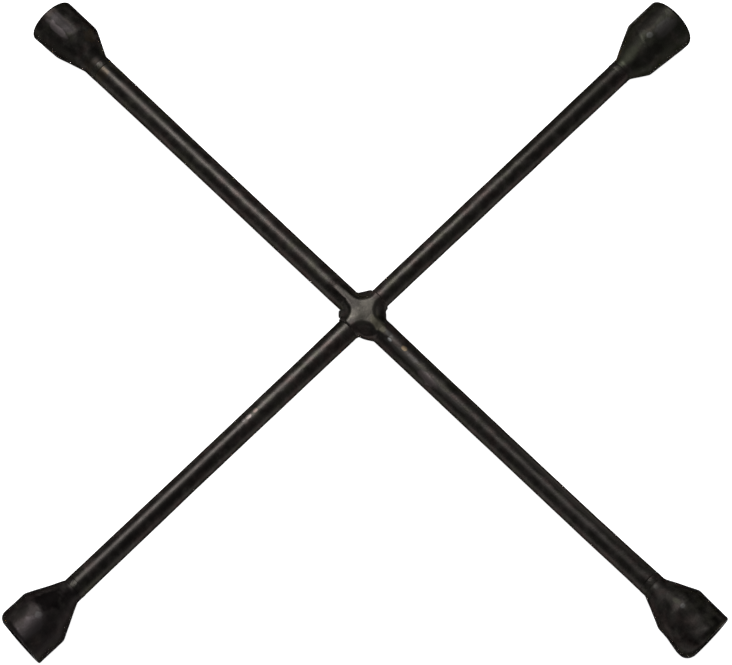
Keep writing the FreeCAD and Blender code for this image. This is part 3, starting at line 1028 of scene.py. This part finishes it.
socket_coat = black_coating(
    "black_socket_coat",
    SOCKET_BLACK,
    roughness=0.5,
    grain=0.7,
    mottle=0.48,
    marks=[
        ((0.0, 232.0, 4.0), (22.0, 30.0, 26.0), (0.0170, 0.0180, 0.0128), 0.5),
        ((0.0, -238.0, 4.0), (24.0, 30.0, 26.0), (0.0190, 0.0157, 0.0163), 0.5),
        ((-7.0, 211.0, 3.0), (3.0, 7.0, 5.0), RUST_AND_SHEEN, 0.5),
        ((-211.0, -3.0, 5.0), (6.0, 5.0, 6.0), RUST_AND_SHEEN, 0.2),
        # 17 mm socket: painted shade dimming the highlight at the neck and the floor's reflection
        #               low on the cone.
        ((-213.0, 0.5, 7.5), (7.0, 5.0, 5.0), PAINTED_SHADE, 0.6),
        ((-226.0, -10.0, 8.0), (24.0, 4.5, 10.0), PAINTED_SHADE, 0.8),
        # Painted shade over the key light's highlight on the 17 mm socket's body, and a painted
        # highlight band below it.
        ((-238.0, 0.4, 13.8), (9.8, 3.4, 4.0), (0.0160, 0.0140, 0.0144), 0.8),
        ((-238.0, -4.0, 13.8), (9.8, 2.0, 4.0), (0.062, 0.053, 0.054), 0.85),
        # Partly rust and partly a painted highlight, on a bump at the top of the 17 mm socket's
        # cone.
        ((-224.0, 7.0, 10.0), (4.5, 4.0, 5.0), RUST_AND_SHEEN, 0.4),
        # 19 mm socket: painted glints at the neck, on the cone and at the shoulder, painted shade
        #               dimming the highlight on the cone and the body, and a painted highlight on
        #               the rounded edge of the mouth.
        ((217.5, -0.8, 7.2), (1.8, 1.6, 3.0), WORN_AND_GLINT, 0.4),
        ((224.0, 0.0, 10.0), (12.0, 5.0, 6.0), PAINTED_SHADE, 0.45),
        ((231.5, -0.3, 12.5), (3.0, 1.8, 4.0), PAINTED_GLINT, 0.35),
        ((235.2, -0.2, 14.5), (1.6, 1.7, 3.0), BARE_AND_GLINT, 0.25),
        ((244.0, -2.0, 14.5), (8.0, 6.0, 3.0), PAINTED_SHADE, 0.4),
        ((257.0, 7.5, 8.0), (2.0, 6.0, 8.0), (0.052, 0.046, 0.036), 0.5),
        # 21 mm socket: painted highlights on the cone and the body, painted shade beside them on
        #               both flanks, and a painted reflection along the low edge of the body.
        ((0.2, 229.3, 14.5), (2.0, 2.3, 4.0), BARE_AND_GLINT, 0.22),
        ((-0.8, 214.0, 9.5), (4.0, 11.0, 6.0), (0.028, 0.029, 0.021), 0.9),
        ((-6.0, 236.0, 14.5), (4.5, 13.0, 6.0), PAINTED_SHADE, 0.75),
        ((1.5, 238.0, 14.5), (3.0, 6.5, 5.0), (0.036, 0.034, 0.033), 0.6),
        ((4.5, 239.0, 14.0), (3.0, 8.5, 6.0), (0.040, 0.036, 0.035), 0.6),
        ((7.5, 219.0, 12.0), (5.5, 13.0, 6.0), PAINTED_SHADE, 0.6),
        ((-14.6, 236.0, 2.0), (3.5, 16.0, 8.0), (0.07, 0.066, 0.062), 0.8),
        # 22 mm socket: a painted highlight with a painted glint on the body, near-black painted
        #               shade on the cone, and painted shade beside the highlight.
        ((3.0, -247.5, 15.0), (5.0, 9.0, 6.0), (0.034, 0.029, 0.030), 0.8),
        ((1.0, -240.5, 14.5), (2.4, 2.0, 5.0), BARE_AND_GLINT, 0.15),
        ((-2.0, -230.5, 12.0), (7.0, 10.5, 6.0), (0.006, 0.005, 0.005), 0.85),
        ((-6.5, -247.0, 15.0), (3.0, 9.0, 6.0), PAINTED_SHADE, 0.6),
    ],
)
weld_coat = black_coating("black_weld_coat", WELD_BLACK, roughness=0.41, grain=0.6, mottle=0.26)

make_eye_bar(bar_coat)
make_cross_bar(bar_coat)
for each_arm in ARMS:
    make_socket(each_arm, socket_coat)
    make_weld(each_arm, weld_coat)
make_studio()
make_camera()
